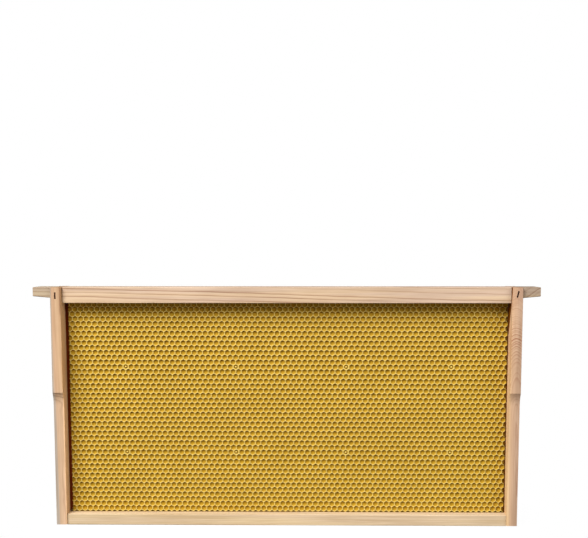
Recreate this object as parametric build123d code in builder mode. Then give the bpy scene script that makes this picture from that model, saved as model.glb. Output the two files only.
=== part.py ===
from build123d import *
import os

# A deep Langstroth hive frame: four pine bars, a moulded plastic comb foundation sheet that floats in the
# grooves of the top and bottom bars, and eight wire staples.
# Millimetres. +X runs along the top bar, -Y is the front face and +Z is up. The origin is under the middle of
# the bottom bar, on the surface that the frame stands on.

# ---- driving dimensions ----
overall_length = 482.6  # tip to tip of the top bar's lugs
frame_height = 232.0
end_span = 447.7  # outer face to outer face of the end bars

end_thickness = 10.0
end_wide = 35.0  # self-spacing upper part
end_narrow = 28.6
wide_length = 101.0  # from the top down to the shoulders
shoulder_length = 12.0

top_width = 27.0
top_thickness = 15.2
neck_width = 22.2  # between the ears of an end bar
lug_root = 10.3  # thickness of the neck, and of the lug where it leaves the end bar
lug_tip = 8.7

bottom_width = 25.4
bottom_thickness = 10.8
tongue_width = 19.0  # of the bottom bar, between the prongs of an end bar
tongue_short = 1.0  # from the tongue's end to the outer face of the end bar
prong_lift = 0.6  # the prongs stop this far above the bottom bar's underside

groove_width = 4.2
top_groove_depth = 4.7
bottom_groove_depth = 4.0

sheet_length = 424.2
sheet_height = 212.5
sheet_thickness = 3.6  # over the rims of the cells on both faces
sheet_lift = 0.3  # above the floor of the bottom groove
sheet_gap_right = 0.7  # from the sheet's end to the right end bar

joint_gap = 0.2  # dry gap beside the shoulders of the top bar
slot_clearance = 0.1  # each side of the neck and of the tongue in the end bars' slots
edge_break = 0.4  # eased long edges
end_break = 0.3  # eased edges of the end bars and of the sheet

crown_width = 6.0
wire_width = 1.25
wire_thickness = 1.0
bend_radius = 0.6
crown_sink = 0.5  # how far the crowns are driven below the wood
slot_play = 0.15  # torn wood around a sunk crown
side_leg = 13.0
long_leg = 22.0

# ---- derived places ----
lug_x = overall_length / 2
outer_x = end_span / 2
inner_x = outer_x - end_thickness
middle_x = outer_x - end_thickness / 2
neck_bottom = frame_height - lug_root
top_bar_bottom = frame_height - top_thickness
shoulder_top = frame_height - wide_length
shoulder_bottom = shoulder_top - shoulder_length
sheet_bottom = bottom_thickness - bottom_groove_depth + sheet_lift
sheet_x = inner_x - sheet_gap_right - sheet_length / 2
ear_face = end_wide / 2

os.makedirs("parts", exist_ok=True)


def finish(piece, name):
    """Names a finished piece and writes its file."""
    piece.label = name
    export_step(piece, f"parts/{name}.step")


# ---- staples ----
def ear_seat(x, z, tilt, side):
    """The seat of a staple in an ear: its crown near upright, its legs pointing into the wood. side is -1 at
    the front and 1 at the back; tilt leans the crown's upper end towards +X, in degrees."""
    upright = Vector(0, 0, 1).rotate(Axis.Y, tilt)
    inward = Vector(0, -side, 0)
    return Plane(
        origin=(x, side * (ear_face - crown_sink), z), x_dir=upright, z_dir=upright.cross(inward)
    )


def flat_seat(x, y, z, up):
    """The seat of a staple driven up or down through a bar: its crown along Y. up is 1 or -1, the way the
    legs point."""
    return Plane(origin=(x, y, z), x_dir=(0, 1, 0), z_dir=(up, 0, 0))


def make_staple(seat, leg):
    """A U of flat wire. The seat's origin is the middle of the crown's outer face, its x runs along the crown
    and its y along the legs."""
    with BuildPart() as wire:
        with BuildSketch(seat):
            Rectangle(crown_width, leg, align=(Align.CENTER, Align.MIN))
            with Locations((0, wire_thickness)):
                Rectangle(
                    crown_width - 2 * wire_thickness,
                    leg,
                    align=(Align.CENTER, Align.MIN),
                    mode=Mode.SUBTRACT,
                )
        extrude(amount=wire_width / 2, both=True)
        bends = wire.edges().filter_by(Axis(seat.origin, seat.z_dir)).sort_by(Axis(seat.origin, seat.y_dir))
        fillet(bends[:2], bend_radius)
    return wire.part


def make_slot(seat):
    """The open slot that a sunk crown leaves above itself in the wood."""
    with BuildPart() as slot:
        with BuildSketch(seat):
            with Locations((0, bend_radius)):
                Rectangle(
                    crown_width + 2 * slot_play,
                    crown_sink + 2 * bend_radius,
                    align=(Align.CENTER, Align.MAX),
                )
        extrude(amount=wire_width / 2 + slot_play, both=True)
    return slot.part


staples = {
    "staple_ear_front_left": (ear_seat(-219.2, 224.1, 0, -1), side_leg),
    "staple_ear_front_right": (ear_seat(219.0, 225.4, 13.5, -1), side_leg),
    "staple_ear_back_left": (ear_seat(-218.4, 224.6, -7, 1), side_leg),
    "staple_ear_back_right": (ear_seat(218.6, 224.2, 4, 1), side_leg),
    "staple_top_left": (flat_seat(-middle_x, 0.5, frame_height - crown_sink, -1), long_leg),
    "staple_top_right": (flat_seat(middle_x, -0.4, frame_height - crown_sink, -1), long_leg),
    "staple_bottom_left": (flat_seat(-middle_x, -0.6, crown_sink, 1), long_leg),
    "staple_bottom_right": (flat_seat(middle_x, 0.3, crown_sink, 1), long_leg),
}
wires = {name: make_staple(seat, leg) for name, (seat, leg) in staples.items()}
slots = {name: make_slot(seat) for name, (seat, _) in staples.items()}
for name, wire in wires.items():
    finish(wire, name)


def cut_staples(*words):
    """Cuts each staple whose name has one of the words, and its slot, out of the piece being built."""
    for name in staples:
        if any(word in name for word in words):
            add(wires[name], mode=Mode.SUBTRACT)
            add(slots[name], mode=Mode.SUBTRACT)


# ---- top bar ----
with BuildPart() as top_bar:
    with BuildSketch(Plane.XZ):
        with BuildLine():
            Polyline(
                (0, frame_height),
                (lug_x, frame_height),
                (lug_x, frame_height - lug_tip),
                (outer_x + joint_gap, neck_bottom),
                (inner_x - joint_gap, neck_bottom),
                (inner_x - joint_gap, top_bar_bottom),
                (0, top_bar_bottom),
            )
            mirror(about=Plane.YZ)
        make_face()
    extrude(amount=top_width / 2, both=True)
    chamfer(top_bar.edges().filter_by(Axis.X), edge_break)
    chamfer(top_bar.faces().sort_by(Axis.X)[0].edges().filter_by(Axis.Y), edge_break)
    chamfer(top_bar.faces().sort_by(Axis.X)[-1].edges().filter_by(Axis.Y), edge_break)
    # notches that the ears of the end bars close on
    notch_depth = (top_width - neck_width) / 2
    with BuildSketch(Plane.XY.offset(frame_height)):
        with GridLocations(2 * middle_x, neck_width + notch_depth, 2, 2):
            Rectangle(end_thickness + 2 * joint_gap, notch_depth)
    extrude(amount=-top_thickness, mode=Mode.SUBTRACT)
    # groove for the foundation sheet
    with BuildSketch(Plane.XY.offset(top_bar_bottom)):
        Rectangle(2 * inner_x, groove_width)
    extrude(amount=top_groove_depth, mode=Mode.SUBTRACT)
    cut_staples("ear", "top")
finish(top_bar.part, "top_bar")

# ---- bottom bar ----
with BuildPart() as bottom_bar:
    with BuildSketch(Plane.YZ):
        Rectangle(bottom_width, bottom_thickness, align=(Align.CENTER, Align.MIN))
    extrude(amount=outer_x - tongue_short, both=True)
    chamfer(bottom_bar.edges().filter_by(Axis.X), edge_break)
    # the prongs of the end bars close on these notches
    cheek = (bottom_width - tongue_width) / 2
    with BuildSketch(Plane.XY):
        with GridLocations(2 * middle_x, tongue_width + cheek, 2, 2):
            Rectangle(end_thickness + 2 * joint_gap, cheek)
    extrude(amount=bottom_thickness, mode=Mode.SUBTRACT)
    # groove for the foundation sheet, open at both ends
    with BuildSketch(Plane.XY.offset(bottom_thickness)):
        Rectangle(end_span, groove_width)
    extrude(amount=-bottom_groove_depth, mode=Mode.SUBTRACT)
    cut_staples("bottom")
finish(bottom_bar.part, "bottom_bar")


# ---- end bars ----
def make_end_bar(side):
    """side is -1 for the left bar and 1 for the right one."""
    slot_half = neck_width / 2 + slot_clearance
    foot_half = tongue_width / 2 + slot_clearance
    with BuildPart() as bar:
        with BuildSketch(Plane.YZ.offset(side * middle_x)):
            with BuildLine():
                Polyline(
                    (0, neck_bottom),
                    (slot_half, neck_bottom),
                    (slot_half, frame_height),
                    (end_wide / 2, frame_height),
                    (end_wide / 2, shoulder_top),
                )
                TangentArc(
                    (end_narrow / 2, shoulder_bottom), (end_wide / 2, shoulder_top), tangent=(0, 1)
                )
                Polyline(
                    (end_narrow / 2, shoulder_bottom),
                    (end_narrow / 2, prong_lift),
                    (foot_half, prong_lift),
                    (foot_half, bottom_thickness),
                    (0, bottom_thickness),
                )
                mirror(about=Plane.YZ)
            make_face()
        extrude(amount=end_thickness / 2, both=True)
        upright = bar.edges().filter_by(Axis.Z).group_by(Axis.Y)
        chamfer(upright[0] + upright[-1], end_break)
        cut_staples(*(["left"] if side < 0 else ["right"]))
    return bar.part


finish(make_end_bar(-1), "end_bar_left")
finish(make_end_bar(1), "end_bar_right")

# ---- comb foundation sheet: the outer shape of its cells ----
with BuildPart() as sheet:
    with BuildSketch(Plane.XY.offset(sheet_bottom)):
        with Locations((sheet_x, 0)):
            Rectangle(sheet_length, sheet_thickness)
    extrude(amount=sheet_height)
    chamfer(sheet.edges().filter_by(Axis.Z), end_break)
    chamfer(sheet.edges().filter_by(Axis.X), end_break)
finish(sheet.part, "foundation_sheet")
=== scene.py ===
import math
from collections import namedtuple

import bmesh
import bpy
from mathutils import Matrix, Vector


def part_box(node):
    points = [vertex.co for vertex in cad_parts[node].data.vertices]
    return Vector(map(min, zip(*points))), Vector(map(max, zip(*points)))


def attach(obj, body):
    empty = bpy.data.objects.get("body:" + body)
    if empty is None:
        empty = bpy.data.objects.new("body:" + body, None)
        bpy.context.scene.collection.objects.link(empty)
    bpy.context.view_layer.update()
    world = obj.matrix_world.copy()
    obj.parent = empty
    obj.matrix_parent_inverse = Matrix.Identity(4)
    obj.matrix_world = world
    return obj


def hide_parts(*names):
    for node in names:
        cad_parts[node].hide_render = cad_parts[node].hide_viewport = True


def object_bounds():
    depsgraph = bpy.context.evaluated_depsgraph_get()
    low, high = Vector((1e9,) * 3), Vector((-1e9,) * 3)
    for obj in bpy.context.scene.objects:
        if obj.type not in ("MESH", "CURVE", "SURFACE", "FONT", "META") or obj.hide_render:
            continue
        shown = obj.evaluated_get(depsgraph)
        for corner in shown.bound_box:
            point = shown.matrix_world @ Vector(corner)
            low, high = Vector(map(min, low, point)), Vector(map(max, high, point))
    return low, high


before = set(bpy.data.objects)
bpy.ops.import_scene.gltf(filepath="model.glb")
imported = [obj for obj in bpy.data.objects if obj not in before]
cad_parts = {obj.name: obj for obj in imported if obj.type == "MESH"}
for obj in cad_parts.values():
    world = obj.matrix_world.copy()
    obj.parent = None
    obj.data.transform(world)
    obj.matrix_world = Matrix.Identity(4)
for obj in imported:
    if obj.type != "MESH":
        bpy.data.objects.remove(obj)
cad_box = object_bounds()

MM = 0.001
WHITE = (1.0, 1.0, 1.0)
scene = bpy.context.scene


# ---------------------------------------------------------------- nodes
class Nodes:
    """The node tree of a material or a world. Each method adds a node and gives back its output."""

    def __init__(self, owner):
        owner.use_nodes = True
        self.owner = owner
        self.tree = owner.node_tree
        self.tree.nodes.clear()

    def add(self, kind, **settings):
        node = self.tree.nodes.new(kind)
        for key, value in settings.items():
            setattr(node, key, value)
        return node

    def feed(self, socket, value):
        if isinstance(value, bpy.types.NodeSocket):
            self.tree.links.new(value, socket)
        else:
            socket.default_value = value

    def feed_all(self, sockets, values):
        for socket, value in zip(sockets, values):
            self.feed(socket, value)

    def math(self, operation, *values):
        node = self.add("ShaderNodeMath", operation=operation)
        self.feed_all(node.inputs, values)
        return node.outputs[0]

    def length(self, vector):
        node = self.add("ShaderNodeVectorMath", operation="LENGTH")
        self.feed(node.inputs[0], vector)
        return node.outputs["Value"]

    def combine(self, x, y, z):
        node = self.add("ShaderNodeCombineXYZ")
        self.feed_all(node.inputs, (x, y, z))
        return node.outputs[0]

    def split(self, vector):
        node = self.add("ShaderNodeSeparateXYZ")
        self.feed(node.inputs[0], vector)
        return tuple(node.outputs)

    def coordinate(self, kind):
        return self.add("ShaderNodeTexCoord").outputs[kind]

    def place(self):
        return self.coordinate("Object")

    def normal(self):
        return self.coordinate("Normal")

    def noise(self, vector, scale=1.0, detail=2.0, roughness=0.5):
        """Noise about 0.5, from 0 to 1."""
        node = self.add("ShaderNodeTexNoise")
        self.feed(node.inputs["Vector"], vector)
        node.inputs["Scale"].default_value = scale
        node.inputs["Detail"].default_value = detail
        node.inputs["Roughness"].default_value = roughness
        return node.outputs["Fac"]

    def ramp(self, factor, stops):
        """stops: (position, colour or grey)."""
        node = self.add("ShaderNodeValToRGB")
        elements = node.color_ramp.elements
        while len(elements) < len(stops):
            elements.new(0.5)
        for element, (position, colour) in zip(elements, stops):
            element.position = position
            element.color = (*colour, 1.0) if isinstance(colour, tuple) else (colour, colour, colour, 1.0)
        self.feed(node.inputs[0], factor)
        return node.outputs["Color"]

    def range(self, value, low, high, to_low=0.0, to_high=1.0, kind="SMOOTHSTEP"):
        """The value taken from low..high to to_low..to_high, and held at the ends."""
        node = self.add("ShaderNodeMapRange", interpolation_type=kind)
        self.feed_all(node.inputs, (value, low, high, to_low, to_high))
        return node.outputs[0]

    def mix(self, factor, a, b, blend="MIX"):
        node = self.add("ShaderNodeMix", data_type="RGBA", blend_type=blend, clamp_factor=True)
        for socket, value in zip((node.inputs[0], node.inputs[6], node.inputs[7]), (factor, a, b)):
            self.feed(socket, (*value, 1.0) if isinstance(value, tuple) else value)
        return node.outputs[2]

    def tint(self, share, colour, by):
        return self.mix(share, colour, by, "MULTIPLY")

    def bump(self, height, strength, distance):
        node = self.add("ShaderNodeBump")
        node.inputs["Strength"].default_value = strength
        node.inputs["Distance"].default_value = distance
        self.feed(node.inputs["Height"], height)
        return node.outputs[0]

    def background(self, colour, strength):
        node = self.add("ShaderNodeBackground")
        self.feed(node.inputs["Color"], (*colour, 1.0))
        self.feed(node.inputs["Strength"], strength)
        return node.outputs[0]

    def fade(self, factor, a, b):
        """Shader a where the factor is 0 and shader b where it is 1."""
        node = self.add("ShaderNodeMixShader")
        self.feed_all(node.inputs, (factor, a, b))
        return node.outputs[0]

    def close(self, shader, kind="ShaderNodeOutputMaterial"):
        self.feed(self.add(kind).inputs[0], shader)
        return self.owner

    def finish(self, colour, roughness, normal, specular, metallic=0.0):
        shader = self.add("ShaderNodeBsdfPrincipled")
        self.feed(shader.inputs["Base Color"], colour)
        self.feed(shader.inputs["Roughness"], roughness)
        self.feed(shader.inputs["Normal"], normal)
        shader.inputs["Metallic"].default_value = metallic
        shader.inputs["Specular IOR Level"].default_value = specular
        return self.close(shader.outputs[0])


def linear(red, green, blue):
    """A display colour, 0 to 255, as scene-linear numbers."""
    def one(value):
        value /= 255
        return value / 12.92 if value <= 0.04045 else ((value + 0.055) / 1.055) ** 2.4
    return (one(red), one(green), one(blue))


LIT = 1.35  # what the studio's light gives back from a white surface facing the camera


def paint(red, green, blue):
    """The surface colour that shows as this display colour in the studio's light."""
    return tuple(value / LIT for value in linear(red, green, blue))


# ---------------------------------------------------------------- wood
# Places and lengths below are in mm, in the frame's own axes. A tint multiplies the wood's colour.

# Tinted wood on one side of a line that runs along the board at place across it, or, with stain_along, of one
# that crosses the board at place along it: mostly the wood's own tones, and at the places marked below
# painted light (a painted shadow line, painted shade, a painted highlight). soft: half the width of the
# line's blurred edge. lean: how far the
# line drifts sideways per length. beyond: whether the tinted side is that of greater numbers.
StainAndPaintedLight = namedtuple("StainAndPaintedLight", "place soft lean beyond tint")

# A bump in the growth at a place along the grain, which gives arches on a flat-sawn face.
Swell = namedtuple("Swell", "place half height")

# Where along the grain the ring lines are at full strength. least: their strength far from it.
Focus = namedtuple("Focus", "place half least")

# A strip of painted shade, from start to end front to back, on the one face whose normal points the way given
# along the
# axis given: shadow painted into the wood where shade falls. soft: the blur of the edge at start. flare: how
# fast that edge moves forward above FLARE_FROM, so that the painted shadow widens towards the top.
Strip = namedtuple("Strip", "axis way start soft end flare tint")
FLARE_FROM = 185.0  # height, above which the painted shade widens forward
STRIP_FADE = 3.0  # the blur past the end of the painted shade
ON_FACE = (0.6, 0.9)  # from off a face to on it, by its normal

RIPPLE = 0.45  # short waves in the grain
UNEVEN = 1.6  # how much the rings' widths differ, in rings
END_TINT = (0.78, 0.70, 0.60)  # end grain is darker and greyer
SEASON = [(0.0, 0.35), (0.06, 0.0), (0.45, 0.05), (0.72, 0.3), (0.9, 1.0), (1.0, 0.35)]  # a ring's dark wood
CLOUD = [(0.25, (0.80, 0.76, 0.72)), (0.55, WHITE), (0.8, (1.08, 1.07, 1.05))]
STREAK = [(0.25, (0.78, 0.72, 0.66)), (0.5, WHITE), (0.75, (1.06, 1.06, 1.05))]
FIBRE = [(0.3, (0.80, 0.76, 0.70)), (0.6, WHITE), (0.75, (1.06, 1.06, 1.05))]
SPECKLE = [(0.35, (0.70, 0.66, 0.6)), (0.6, WHITE)]


def bell(n, grain, place, half):
    """1 at a place along the grain, falling off within about half a length on each side of it."""
    off = n.math("DIVIDE", n.math("ADD", grain, -place * MM), half * MM)
    return n.math("POWER", math.e, n.math("MULTIPLY", n.math("MULTIPLY", off, off), -1.0))


def pine(name, along, pith, lean, ring, early, late, stains_and_painted_light=(), swell=(), wander=2.0, contrast=1.0,
         seed=0.0, stain_along=False, painted_shade=None, focus=None):
    """Planed pine. along: the board's grain axis. pith: where the tree's centre line crosses the board's own
    cross-section. lean: how far that line drifts sideways per length. ring: the rings' spacing. early, late:
    the pale wood, as a pair of tones, and the dark ring line. wander: how far the grain strays. contrast: the
    strength of the ring lines. seed: which piece of the noise the board is cut from."""
    n = Nodes(bpy.data.materials.new(name))
    x, y, z = n.split(n.place())
    g, a, b = (x, y, z) if along == "x" else (z, x, y)

    def field(lengthwise, across, shift, detail=2.0, roughness=0.5):
        """Noise with so many cells per metre along the grain and across it."""
        cells = n.combine(
            n.math("MULTIPLY_ADD", g, lengthwise, shift),
            n.math("MULTIPLY", a, across),
            n.math("MULTIPLY", b, across),
        )
        return n.noise(cells, 1.0, detail, roughness)

    def sway(noise, most):
        """Noise as a shift of up to so many mm either way."""
        return n.math("MULTIPLY_ADD", noise, 2 * most * MM, -most * MM)

    # the distance from the tree's centre line, and from it the rings
    bend = sway(field(7.0, 18.0, seed, roughness=0.4), wander)
    stray = n.math("ADD", bend, sway(field(38.0, 90.0, seed + 2.0), RIPPLE))
    side = n.math("ADD", a, n.math("MULTIPLY_ADD", g, -lean[0], -pith[0] * MM))
    deep = n.math("ADD", b, n.math("MULTIPLY_ADD", g, -lean[1], -pith[1] * MM))
    radius = n.math("SQRT", n.math("ADD", n.math("MULTIPLY", side, side), n.math("MULTIPLY", deep, deep)))
    radius = n.math("ADD", radius, stray)
    for bump in swell:
        rise = n.math("MULTIPLY", bell(n, g, bump.place, bump.half), bump.height * MM)
        radius = n.math("ADD", radius, rise)
    years = n.math("DIVIDE", radius, ring * MM)
    uneven = n.noise(n.combine(seed + 3.1, n.math("MULTIPLY", years, 0.55), 0.0), 1.0, 1.0)
    years = n.math("ADD", years, n.math("MULTIPLY", uneven, UNEVEN))
    latewood = n.ramp(n.math("FRACT", years), SEASON)
    strength = n.noise(n.combine(seed + 7.7, n.math("MULTIPLY", years, 0.9), n.math("MULTIPLY", g, 6.0)))
    latewood = n.math("MULTIPLY", latewood, n.range(strength, 0.3, 0.65, 0.2 * contrast, contrast))
    if focus:
        near = bell(n, g, focus.place, focus.half)
        latewood = n.math("MULTIPLY", latewood, n.math("MULTIPLY_ADD", near, 1.0 - focus.least, focus.least))

    fibre = field(26.0, 1300.0, seed * 3.0, 3.0, 0.6)
    streak = field(16.0, 420.0, -seed)
    cloud = field(10.0, 60.0, seed + 5.0, 3.0)
    tone = field(5.0, 150.0, seed + 8.0)

    colour = n.mix(n.range(tone, 0.38, 0.62), early[0], early[1])
    colour = n.mix(n.math("MULTIPLY", latewood, 0.9), colour, late)
    # the wood's own tones, and the painted shadow, shade and highlight marked in the lists below
    for stain_and_painted_light in stains_and_painted_light:
        where = g if stain_along else n.math("MULTIPLY_ADD", g, -stain_and_painted_light.lean, a)
        where = n.math("ADD", where, n.math("MULTIPLY", stray, 0.3))
        share = n.range(where, (stain_and_painted_light.place - stain_and_painted_light.soft) * MM, (stain_and_painted_light.place + stain_and_painted_light.soft) * MM)
        colour = n.tint(share if stain_and_painted_light.beyond else n.math("SUBTRACT", 1.0, share), colour, stain_and_painted_light.tint)
    for noise, stops in ((cloud, CLOUD), (streak, STREAK), (fibre, FIBRE)):
        colour = n.tint(0.6, colour, n.ramp(noise, stops))

    # painted shade: the wood darkened on one face where shadow falls
    if painted_shade:
        on_face = n.range(n.math("MULTIPLY", n.split(n.normal())[painted_shade.axis], painted_shade.way), *ON_FACE)
        above = n.math("MAXIMUM", n.math("ADD", g, -FLARE_FROM * MM), 0.0)
        opened = n.math("ADD", y, n.math("MULTIPLY", above, painted_shade.flare))
        share = n.range(opened, painted_shade.start * MM, (painted_shade.start + painted_shade.soft) * MM)
        share = n.math("MULTIPLY", share, n.range(y, (painted_shade.end + STRIP_FADE) * MM, painted_shade.end * MM))
        colour = n.tint(n.math("MULTIPLY", on_face, share), colour, painted_shade.tint)

    # end grain: darker, greyer, and rough
    facing = n.split(n.normal())["xyz".index(along)]
    cut = n.range(n.math("ABSOLUTE", facing), 0.75, 0.98)
    speckle = n.noise(n.place(), 1900.0, 2.0, 0.6)
    ended = n.tint(0.6, n.tint(1.0, colour, END_TINT), n.ramp(speckle, SPECKLE))
    colour = n.mix(cut, colour, ended)

    height = n.math("ADD", n.math("MULTIPLY", fibre, 0.6), n.math("MULTIPLY", latewood, 0.5))
    height = n.math("ADD", height, n.math("MULTIPLY", speckle, n.math("MULTIPLY", cut, 1.5)))
    rough = n.math("ADD", n.math("MULTIPLY_ADD", fibre, 0.18, 0.52), n.math("MULTIPLY", cut, 0.15))
    return n.finish(colour, rough, n.bump(height, 0.4, 0.12 * MM), specular=0.02)


def steel(name):
    """Staple wire gone dull, with rust-brown grime."""
    n = Nodes(bpy.data.materials.new(name))
    cloud = n.noise(n.place(), 900.0, 3.0, 0.6)
    grime = n.noise(n.place(), 260.0, 2.0, 0.5)
    colour = n.mix(n.range(grime, 0.42, 0.62), linear(62, 32, 26), linear(36, 12, 8))
    colour = n.tint(0.6, colour, n.ramp(cloud, [(0.3, 0.7), (0.7, 1.1)]))
    rough = n.range(cloud, 0.3, 0.7, 0.35, 0.6)
    return n.finish(colour, rough, n.bump(cloud, 0.3, 0.05 * MM), specular=0.15, metallic=0.2)


# the sheet's colour from its middle plane, 0, out to the rims, 1: the rims painted bright as a painted
# highlight, the cells' walls and floors darker as painted shade
GOLDEN_WITH_PAINTED_LIGHT = [
    (0.0, paint(209, 165, 42)),
    (0.35, paint(205, 160, 36)),
    (0.7, paint(203, 156, 28)),
    (0.92, paint(240, 200, 84)),
    (1.0, paint(255, 228, 132)),
]
PAINTED_UNDERSIDE_SHADE = (0.50, 0.36, 0.0)  # painted shade: the tint of walls that face down


def plastic(name):
    """Golden moulded foundation, painted brighter at the rims as a painted highlight and darker on the walls
    that face down as painted shade.
    """
    n = Nodes(bpy.data.materials.new(name))
    outward = n.math("ABSOLUTE", n.split(n.place())[1])
    # painted highlight on the rims and painted shade down in the cells, by depth
    colour = n.ramp(n.range(outward, 0.2 * MM, 1.8 * MM, kind="LINEAR"), GOLDEN_WITH_PAINTED_LIGHT)
    # painted shade on the walls that face down, away from the lamps above
    down = n.range(n.split(n.normal())[2], -0.10, -0.55)
    colour = n.tint(down, colour, PAINTED_UNDERSIDE_SHADE)
    cloud = n.noise(n.place(), 22.0, 3.0, 0.5)
    colour = n.tint(0.6, colour, n.ramp(cloud, [(0.3, (0.93, 0.92, 0.88)), (0.7, (1.03, 1.03, 1.03))]))
    speck = n.noise(n.place(), 420.0, 2.0, 0.55)
    colour = n.tint(0.5, colour, n.ramp(speck, [(0.3, (0.86, 0.83, 0.76)), (0.6, WHITE)]))
    rough = n.range(speck, 0.25, 0.75, 0.48, 0.62)
    return n.finish(colour, rough, n.bump(speck, 0.12, 0.08 * MM), specular=0.12)


# ---------------------------------------------------------------- comb foundation
sheet_low, sheet_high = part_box("foundation_sheet")
FACE = (sheet_high.y - sheet_low.y) / 2  # from the middle plane to the rims
PITCH = 5.357 * MM  # from cell to cell along a row
ROW = 4.672 * MM  # from row to row
FIRST_X = -156.2 * MM  # the middle of the cell at column 0 of row 0, at the front
FIRST_Z = 154.2 * MM
BACK_SHIFT = 2 / 3 * ROW  # the back's cells stand this much higher, over the corners of the front's
# (inset from the wall's middle, depth) in mm of the hexagons down one cell, the last being its floor
STEPS = ((0.30, 0.0), (0.42, 0.5), (0.85, 1.25), (1.40, 1.58))
# the cells at the front that hold a round mark in place of a floor
MARK_COLUMNS = (0, 20, 40, 59)
MARK_ROWS = (0, -18)
# (radius, depth) in mm of the rings of a mark: a dish with a small boss in it
MARK_RINGS = ((2.05, 0.15), (1.80, 1.3), (1.25, 1.4), (1.0, 0.3), (0.6, 0.0))
MERGE = 1e-6  # points this close to a cut lie on it
MAP_BORDER = 3 * MM  # around the sheet's face in its map, for the folded-out rim
HIDDEN_SPOT = 0.001  # the hidden plane's size in the map


def comb_cells(side):
    """The points and faces of the cells on one face of the sheet, running past its edges."""
    shift = 0.0 if side < 0 else BACK_SHIFT
    radius = PITCH / math.sqrt(3)
    stretch = ROW / (1.5 * radius)
    apothem = PITCH / 2
    verts, faces, shared = [], [], {}

    def corner(x, depth, z):
        verts.append((x, side * (FACE - depth), z))
        return len(verts) - 1

    def rim_corner(x, z):
        """A corner on the rims, which the cells around it share."""
        key = (round(x * 1e6), round(z * 1e6))
        if key not in shared:
            shared[key] = corner(x, 0.0, z)
        return shared[key]

    def hexagon(x, z, inset, depth, share=False):
        size = radius * (1 - inset / apothem)
        points = []
        for k in range(6):
            angle = math.radians(90 + 60 * k)
            px = x + size * math.cos(angle)
            pz = z + size * math.sin(angle) * stretch
            points.append(rim_corner(px, pz) if share else corner(px, depth, pz))
        return points

    def circle(x, z, size, depth):
        points = []
        for k in range(12):
            angle = math.radians(90 + 30 * k)
            points.append(corner(x + size * math.cos(angle), depth, z + size * math.sin(angle)))
        return points

    def band(outer, inner):
        count = len(outer)
        for k in range(count):
            m = (k + 1) % count
            faces.append((outer[k], outer[m], inner[m], inner[k]))

    def join(outer, ring):
        """Triangles from a hexagon to the circle of twelve points inside it."""
        for k in range(6):
            m = (k + 1) % 6
            faces.append((outer[k], ring[2 * k + 1], ring[2 * k]))
            faces.append((outer[k], outer[m], ring[2 * k + 1]))
            faces.append((outer[m], ring[(2 * k + 2) % 12], ring[2 * k + 1]))

    def cell(x, z, marked):
        previous = hexagon(x, z, 0.0, 0.0, share=True)
        for inset, depth in STEPS[: 1 if marked else len(STEPS)]:
            ring = hexagon(x, z, inset * MM, depth * MM)
            band(previous, ring)
            previous = ring
        link = join
        for size, depth in MARK_RINGS if marked else ():
            ring = circle(x, z, size * MM, depth * MM)
            link(previous, ring)
            previous, link = ring, band
        faces.append(tuple(previous))

    rows_up = int((sheet_high.z - FIRST_Z - shift) / ROW) + 2
    rows_down = int((FIRST_Z + shift - sheet_low.z) / ROW) + 2
    for row in range(-rows_down, rows_up + 1):
        start = FIRST_X + (row % 2) * PITCH / 2
        first = -int((start - sheet_low.x) / PITCH) - 2
        last = int((sheet_high.x - start) / PITCH) + 2
        for column in range(first, last + 1):
            marked = side < 0 and row in MARK_ROWS and column in MARK_COLUMNS
            cell(start + column * PITCH, FIRST_Z + shift + row * ROW, marked)
    if side > 0:
        faces = [tuple(reversed(face)) for face in faces]
    return verts, faces


def trim(bm):
    """Cuts the cells off at the sheet's four edges."""
    for point, direction in (
        ((sheet_low.x, 0, 0), (-1, 0, 0)),
        ((sheet_high.x, 0, 0), (1, 0, 0)),
        ((0, 0, sheet_low.z), (0, 0, -1)),
        ((0, 0, sheet_high.z), (0, 0, 1)),
    ):
        bmesh.ops.bisect_plane(
            bm,
            geom=bm.verts[:] + bm.edges[:] + bm.faces[:],
            plane_co=point,
            plane_no=direction,
            dist=MERGE,
            clear_outer=True,
        )


def close_behind(bm):
    """Takes the cut edges straight back to the middle plane and closes it with a fan. Gives the fan's hub."""
    grown = bmesh.ops.extrude_edge_only(bm, edges=[e for e in bm.edges if e.is_boundary])["geom"]
    for item in grown:
        if isinstance(item, bmesh.types.BMVert):
            item.co.y = 0.0
        elif isinstance(item, bmesh.types.BMFace):
            item.smooth = False
    hub = bm.verts.new(((sheet_low.x + sheet_high.x) / 2, 0.0, (sheet_low.z + sheet_high.z) / 2))
    for edge in [e for e in bm.edges if e.is_boundary]:
        a, b = edge.verts
        if edge.link_loops[0].vert is a:
            a, b = b, a
        bm.faces.new((a, b, hub))
    bm.normal_update()
    return hub


def lay_out_map(bm, hub):
    """The sheet's own map: the face laid flat, its rim folded out, and the hidden plane in one small spot."""
    layer = bm.loops.layers.uv.new("OFBake")
    wide, tall = sheet_high.x - sheet_low.x, sheet_high.z - sheet_low.z
    for face in bm.faces:
        hidden = hub in face.verts
        for loop in face.loops:
            x, y, z = loop.vert.co
            if hidden:
                loop[layer].uv = (
                    (x - sheet_low.x) / wide * HIDDEN_SPOT,
                    (z - sheet_low.z) / tall * HIDDEN_SPOT,
                )
                continue
            if abs(y) < 1e-7:  # the rim's far edge, which lies on the middle plane
                if abs(face.normal.x) > 0.7:
                    x += math.copysign(FACE, x)
                if abs(face.normal.z) > 0.7:
                    z += math.copysign(FACE, face.normal.z)
            loop[layer].uv = (
                (x - sheet_low.x + MAP_BORDER) / (wide + 2 * MAP_BORDER),
                (z - sheet_low.z + MAP_BORDER) / (tall + 2 * MAP_BORDER),
            )


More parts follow.
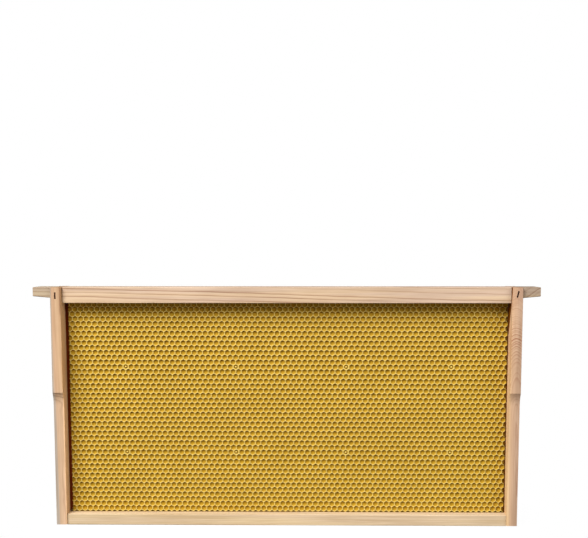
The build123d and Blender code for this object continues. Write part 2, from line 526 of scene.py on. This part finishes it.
def comb_half(name, side, material):
    """One moulded face of the sheet, from its rims down to the middle plane. side: -1 front, 1 back."""
    verts, faces = comb_cells(side)
    mesh = bpy.data.meshes.new(name)
    mesh.from_pydata(verts, [], faces)
    bm = bmesh.new()
    bm.from_mesh(mesh)
    trim(bm)
    for face in bm.faces:
        face.smooth = True
    lay_out_map(bm, close_behind(bm))
    bm.to_mesh(mesh)
    bm.free()
    obj = bpy.data.objects.new(name, mesh)
    scene.collection.objects.link(obj)
    mesh.materials.append(material)
    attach(obj, "sheet")
    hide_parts("foundation_sheet")


golden = plastic("golden_plastic")
comb_half("comb_front", -1, golden)
comb_half("comb_back", 1, golden)

# ---------------------------------------------------------------- wood and wire of the carried-over pieces
woods = {
    "top_bar": pine(
        "pine_top_bar", "x", pith=(30, 380), lean=(0.0, -0.03), ring=5.0,
        early=(paint(233, 204, 180), paint(243, 213, 179)), late=paint(172, 128, 100),
        seed=2.6, wander=3.0, swell=[Swell(246, 16, 14.0)], stain_along=True,
        stains_and_painted_light=[  # both lugs: a painted shadow line beside the left ear, lifted again over the left lug, and the right lug painted darker and greyer from its ear outwards as painted shade
            StainAndPaintedLight(-213.0, 0.4, 0.0, False, (0.55, 0.48, 0.42)),
            StainAndPaintedLight(-220.0, 3.0, 0.0, False, (1.48, 1.84, 2.16)),
            StainAndPaintedLight(221.0, 6.0, 0.0, True, (0.64, 0.66, 0.66)),
        ],
        painted_shade=Strip(2, 1.0, -90.0, 1.0, 90.0, 0.0, (0.80, 0.83, 0.88)),  # painted shade, darker and greyer, over the whole upper face
    ),
    "bottom_bar": pine(
        "pine_bottom_bar", "x", pith=(40, -90), lean=(0.0, 0.012), ring=1.7,
        early=(paint(242, 216, 182), paint(243, 217, 176)), late=paint(204, 166, 124),
        seed=5.9, contrast=0.7,
        painted_shade=Strip(2, 1.0, -5.0, 2.6, 6.0, 0.0, (0.42, 0.27, 0.05)),  # painted shadow on the upper face beside the sheet
    ),
    "end_bar_left": pine(
        "pine_end_left", "z", pith=(-228, 72.5), lean=(0.01, 0.004), ring=1.35,
        early=(paint(246, 202, 161), paint(238, 198, 157)), late=paint(146, 104, 78),
        seed=9.4, contrast=1.1, wander=0.5,
        stains_and_painted_light=[  # the outer edge twice, the inner edge brightened as a painted highlight on its arris and painted light on the inner face, and the narrow lower part
            StainAndPaintedLight(-220.6, 0.5, -0.010, False, (0.80, 0.97, 1.18)),
            StainAndPaintedLight(-219.0, 4.5, 0.0, False, (0.82, 0.84, 0.90)),
            StainAndPaintedLight(-214.6, 0.5, 0.0, True, (1.14, 1.12, 1.02)),
            StainAndPaintedLight(-349.0, 25.0, 1.0, True, (1.15, 1.20, 1.30)),
        ],
        painted_shade=Strip(0, 1.0, -2.6, 2.4, 9.0, 0.03, (0.24, 0.05, 0.0)),  # painted shadow on the inner face beside the sheet
    ),
    "end_bar_right": pine(
        "pine_end_right", "z", pith=(224.0, -7.5), lean=(-0.03, 0.0), ring=0.95,
        early=(paint(246, 206, 170), paint(240, 200, 164)), late=paint(180, 108, 74),
        seed=14.2, contrast=1.6, wander=0.8, swell=[Swell(245, 60, 36.0)], focus=Focus(181, 15, 0.28),
        stains_and_painted_light=[  # the outer edge, the inner edge, and the ear
            StainAndPaintedLight(218.6, 4.5, 0.0, True, (0.76, 0.77, 0.83)),
            StainAndPaintedLight(216.2, 2.0, -0.015, False, (1.24, 1.30, 1.14)),
            StainAndPaintedLight(3.0, 4.0, 1.0, False, (0.88, 0.83, 0.82)),
        ],
        painted_shade=Strip(0, -1.0, -4.5, 2.0, 9.0, 0.34, (0.26, 0.12, 0.01)),  # painted shadow on the inner face beside the sheet, widening towards the top under the top bar
    ),
}
wire = steel("staple_steel")
for name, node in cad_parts.items():  # the sheet's plain solid gets wire too, but the comb replaces it
    node.data.materials.clear()
    node.data.materials.append(woods.get(name, wire))


# ---------------------------------------------------------------- floor, light, camera
FLOOR_HALF = 4.0  # metres
FLOOR_DROP = 0.05 * MM  # below the frame's underside


def pale_floor():
    """A faint pale grey, four fifths clear in the middle and wholly clear away from the frame."""
    n = Nodes(bpy.data.materials.new("pale_floor"))
    grey = n.add("ShaderNodeBsdfDiffuse")
    grey.inputs["Color"].default_value = (0.88, 0.88, 0.88, 1.0)
    clear = n.add("ShaderNodeBsdfTransparent")
    away = n.range(n.length(n.place()), 0.08, 0.27, 0.80, 1.0)
    return n.close(n.fade(away, grey.outputs[0], clear.outputs[0]))


def lay_floor():
    height = cad_box[0].z - FLOOR_DROP
    corners = [(-1, -1), (1, -1), (1, 1), (-1, 1)]
    mesh = bpy.data.meshes.new("floor")
    mesh.from_pydata([(x * FLOOR_HALF, y * FLOOR_HALF, height) for x, y in corners], [], [(0, 1, 2, 3)])
    mesh.materials.append(pale_floor())
    floor = bpy.data.objects.new("floor", mesh)
    scene.collection.objects.link(floor)


def studio():
    """White to the camera, and to the part a dim warm light that is stronger from the front."""
    n = Nodes(bpy.data.worlds.new("studio"))
    front_to_back = n.split(n.coordinate("Generated"))[1]
    shade = n.background((1.0, 0.93, 0.80), n.range(front_to_back, -0.5, 0.3, 0.25, 0.02))
    seen = n.background(WHITE, 1.0)
    camera_ray = n.add("ShaderNodeLightPath").outputs["Is Camera Ray"]
    return n.close(n.fade(camera_ray, shade, seen), "ShaderNodeOutputWorld")


def softbox(name, azimuth, elevation, distance, size, power):
    """A square light aimed at the frame's middle, from an azimuth counted as the camera's views are."""
    light = bpy.data.lights.new(name, "AREA")
    light.shape = "SQUARE"
    light.size = size
    light.energy = power
    obj = bpy.data.objects.new(name, light)
    scene.collection.objects.link(obj)
    a, e = math.radians(azimuth), math.radians(elevation)
    back = Vector((math.sin(a) * math.cos(e), -math.cos(a) * math.cos(e), math.sin(e)))
    target = (cad_box[0] + cad_box[1]) / 2
    obj.location = target + back * distance
    obj.rotation_mode = "QUATERNION"
    obj.rotation_quaternion = back.to_track_quat("Z", "Y")


TILT_DOWN = 5.63  # degrees
TURN_LEFT = 0.70


def set_camera():
    lens = bpy.data.cameras.new("camera")
    lens.sensor_fit = "HORIZONTAL"
    lens.sensor_width = 36.0
    lens.lens = 55.0
    lens.shift_y = 0.1245  # the share of the picture's width that the frame stands below its middle
    lens.clip_start = 0.01
    lens.clip_end = 100.0
    camera = bpy.data.objects.new("camera", lens)
    scene.collection.objects.link(camera)
    camera.location = (0.0181, -0.8668, 0.2637)
    camera.rotation_euler = (math.radians(90 - TILT_DOWN), 0.0, math.radians(TURN_LEFT))
    scene.camera = camera


lay_floor()
scene.world = studio()
softbox("key", -37, 46, 2.3, 1.45, 87.0)
softbox("side_fill", 50, 22, 2.3, 1.5, 20.0)
softbox("back_fill", 226, 10, 2.0, 1.2, 30.0)
softbox("edge_fill", 104, 18, 2.2, 1.2, 20.0)
set_camera()
scene.view_settings.view_transform = "Standard"
